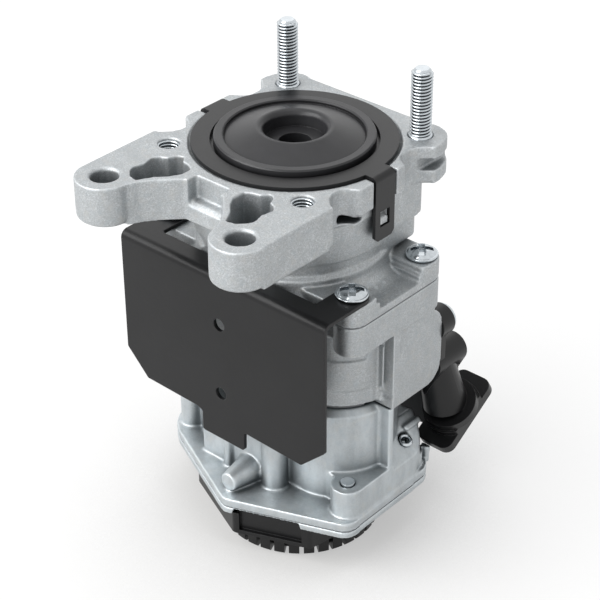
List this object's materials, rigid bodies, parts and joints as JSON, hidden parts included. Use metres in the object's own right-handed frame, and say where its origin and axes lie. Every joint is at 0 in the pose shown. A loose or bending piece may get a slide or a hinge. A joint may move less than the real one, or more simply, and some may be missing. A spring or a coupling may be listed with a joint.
{
  "type": "foot brake valve",
  "caption": "Dual-circuit foot brake valve: armed mounting head with plunger and studs, bolted valve housings, shield, travel sensor with connector, and silencer.",
  "frame": {"origin": "on the plunger axis, in the plane of the mounting face of the head", "axes": "+Z out of the mounting face, along the plunger axis towards the pedal; -Y towards the two arms and the shield, +Y towards the studs; +X towards the sensor box"},
  "size_m": [0.1073, 0.1277, 0.182],
  "materials": {
    "cast_alloy": "sand-blasted die casting",
    "bright_alloy": "smooth die casting",
    "turned_alloy": "turned",
    "zinc_steel": "bright zinc",
    "spring_steel": "drawn wire",
    "plunger_plastic": "satin dark grey",
    "ring_plastic": "satin dark grey",
    "black_plastic": "black, semi-matte",
    "black_sheet": "black coated sheet steel",
    "rubber": "moulded",
    "board": "circuit board",
    "brass": "bright"
  },
  "bodies": {
    "housing": {"mounting_head": "cast_alloy", "mounting_studs": "zinc_steel", "retaining_ring": "ring_plastic", "head_gasket": "rubber", "middle_housing": "cast_alloy", "flange_screws": "zinc_steel", "shield": "black_sheet", "upper_valve_guide": "turned_alloy", "seam_gasket": "rubber", "lower_housing": "bright_alloy", "lower_valve_guide": "turned_alloy", "base_gasket": "rubber", "base_cover": "bright_alloy", "base_screws": "zinc_steel", "silencer": "black_plastic", "exhaust_flap": "rubber", "sensor_board": "board", "sensor_cover": "black_plastic", "cover_screws": "zinc_steel", "connector_pins": "brass", "locking_screw": "zinc_steel", "plunger_spring": "spring_steel", "control_spring": "spring_steel", "upper_valve_spring": "spring_steel", "relay_spring": "spring_steel", "lower_valve_spring": "spring_steel", "sensor_spring": "spring_steel"},
    "plunger": {"plunger": "plunger_plastic", "spring_seat": "zinc_steel"},
    "upper_piston": {"upper_piston": "turned_alloy", "upper_piston_seal": "rubber"},
    "upper_valve": {"upper_valve": "rubber"},
    "relay_piston": {"relay_piston": "turned_alloy", "relay_piston_seal": "rubber"},
    "lower_valve": {"lower_valve": "rubber"},
    "sensor_pin": {"sensor_pin": "zinc_steel"}
  },
  "joints": [
    {"name": "plunger_slide", "type": "slide", "parent": "housing", "child": "plunger", "axis": [0, 0, -1], "range_m": [0, 0.012], "stiffness_N_per_m": 4000, "springref_m": -0.01, "deforming": ["plunger_spring", "control_spring"]},
    {"name": "upper_piston_slide", "type": "slide", "parent": "housing", "child": "upper_piston", "axis": [0, 0, -1], "range_m": [0, 0.003]},
    {"name": "upper_valve_slide", "type": "slide", "parent": "housing", "child": "upper_valve", "axis": [0, 0, -1], "range_m": [0, 0.003], "deforming": ["upper_valve_spring"]},
    {"name": "relay_piston_slide", "type": "slide", "parent": "housing", "child": "relay_piston", "axis": [0, 0, -1], "range_m": [0, 0.002], "deforming": ["relay_spring"]},
    {"name": "lower_valve_slide", "type": "slide", "parent": "housing", "child": "lower_valve", "axis": [0, 0, -1], "range_m": [0, 0.002], "deforming": ["lower_valve_spring"]},
    {"name": "sensor_slide", "type": "slide", "parent": "housing", "child": "sensor_pin", "axis": [0, 0, -1], "range_m": [0, 0.012], "deforming": ["sensor_spring"]}
  ],
  "couplings": [
    {"joint": "upper_piston_slide", "follows": "plunger_slide", "ratio": 0.25},
    {"joint": "upper_valve_slide", "follows": "plunger_slide", "ratio": 0.25},
    {"joint": "relay_piston_slide", "follows": "plunger_slide", "ratio": 0.16666},
    {"joint": "lower_valve_slide", "follows": "plunger_slide", "ratio": 0.16666},
    {"joint": "sensor_slide", "follows": "plunger_slide", "ratio": 1}
  ]
}
